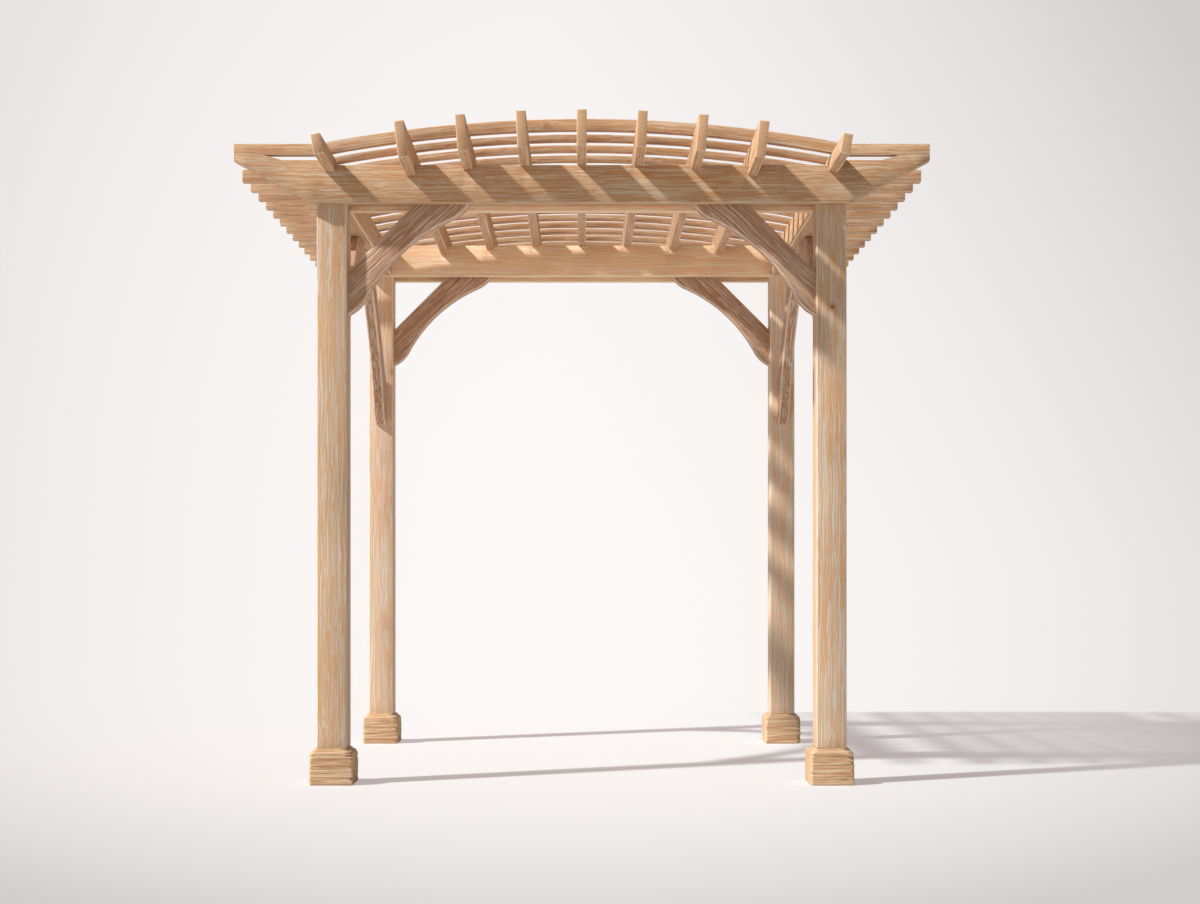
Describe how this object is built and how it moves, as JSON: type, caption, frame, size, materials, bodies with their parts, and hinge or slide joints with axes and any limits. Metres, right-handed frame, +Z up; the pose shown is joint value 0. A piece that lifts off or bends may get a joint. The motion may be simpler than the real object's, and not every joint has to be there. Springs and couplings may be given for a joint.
{
  "type": "garden pergola",
  "caption": "Free-standing open timber pergola: posts on base blocks carry paired-board beams with ogee knee braces, radial rafters and a roof of arched slats.",
  "frame": {"origin": "on the ground under the middle of the outline", "axes": "+X to the right as seen from the front, +Y to the rear, +Z up"},
  "size_m": [2.77, 2.764, 2.6541],
  "materials": {
    "base_block_timber": "planed softwood, matt, unpainted",
    "post_timber": "planed softwood, matt, unpainted",
    "beam_timber": "planed softwood, matt, unpainted",
    "brace_timber": "planed softwood, matt, unpainted",
    "rafter_timber": "planed softwood, matt, unpainted",
    "slat_timber": "planed softwood, matt, unpainted"
  },
  "bodies": {
    "root": {"fascia_slat": "slat_timber", "front_beam_board_back": "beam_timber", "front_beam_board_front": "beam_timber", "front_beam_core": "beam_timber", "front_left_base_block": "base_block_timber", "front_left_beam_brace": "brace_timber", "front_left_post": "post_timber", "front_left_side_brace": "brace_timber", "front_right_base_block": "base_block_timber", "front_right_beam_brace": "brace_timber", "front_right_post": "post_timber", "front_right_side_brace": "brace_timber", "left_side_beam": "beam_timber", "rafter_1": "rafter_timber", "rafter_2": "rafter_timber", "rafter_3": "rafter_timber", "rafter_4": "rafter_timber", "rafter_5": "rafter_timber", "rafter_6": "rafter_timber", "rafter_7": "rafter_timber", "rafter_8": "rafter_timber", "rafter_9": "rafter_timber", "rear_beam_board_back": "beam_timber", "rear_beam_board_front": "beam_timber", "rear_beam_core": "beam_timber", "rear_left_base_block": "base_block_timber", "rear_left_beam_brace": "brace_timber", "rear_left_post": "post_timber", "rear_left_side_brace": "brace_timber", "rear_right_base_block": "base_block_timber", "rear_right_beam_brace": "brace_timber", "rear_right_post": "post_timber", "rear_right_side_brace": "brace_timber", "right_side_beam": "beam_timber", "slat_01": "slat_timber", "slat_02": "slat_timber", "slat_03": "slat_timber", "slat_04": "slat_timber", "slat_05": "slat_timber", "slat_06": "slat_timber", "slat_07": "slat_timber", "slat_08": "slat_timber", "slat_09": "slat_timber", "slat_10": "slat_timber", "slat_11": "slat_timber", "slat_12": "slat_timber", "slat_13": "slat_timber", "slat_14": "slat_timber"}
  },
  "joints": []
}
